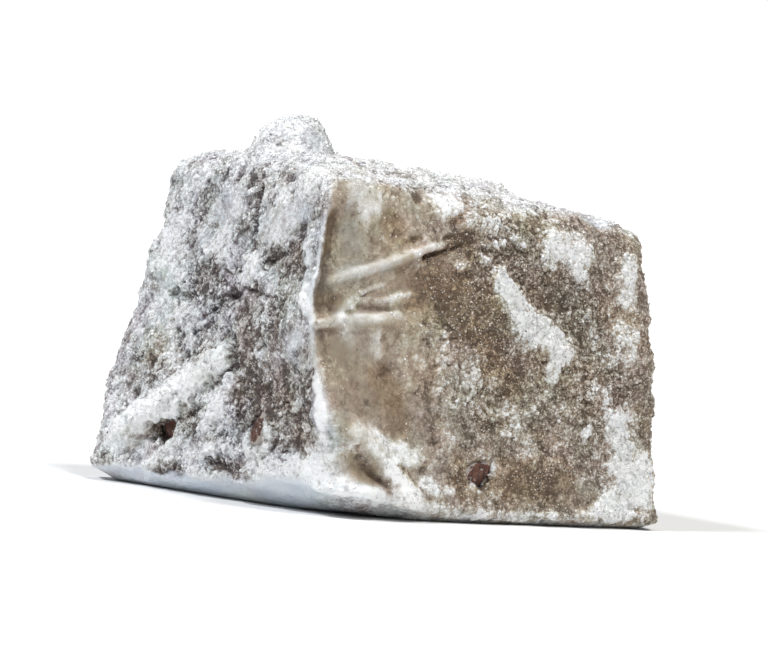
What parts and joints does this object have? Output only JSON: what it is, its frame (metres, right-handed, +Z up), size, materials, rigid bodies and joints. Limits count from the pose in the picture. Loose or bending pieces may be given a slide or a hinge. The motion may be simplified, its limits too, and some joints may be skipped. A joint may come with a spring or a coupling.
{
  "type": "almond turkish delight piece",
  "caption": "Soft, hand-cut cube of nut-filled jelly sweet, caked with starch and sugar, with chips of almond showing at its faces.",
  "frame": {"origin": "middle of the underside of the piece's bounding box, on the surface it rests on", "axes": "+Z up from the flat underside, +X to the right along the front face, -Y out of the front face"},
  "size_m": [0.0316, 0.0282, 0.026],
  "materials": {
    "dusted_jelly": "grey-brown jelly caked with matt white starch and fine sugar",
    "almond_skin": "dry, dull brown almond skin"
  },
  "bodies": {
    "root": {"delight": "dusted_jelly", "almond_left_near": "almond_skin", "almond_left_far": "almond_skin", "almond_front": "almond_skin", "almond_right": "almond_skin", "almond_back": "almond_skin"}
  },
  "joints": []
}
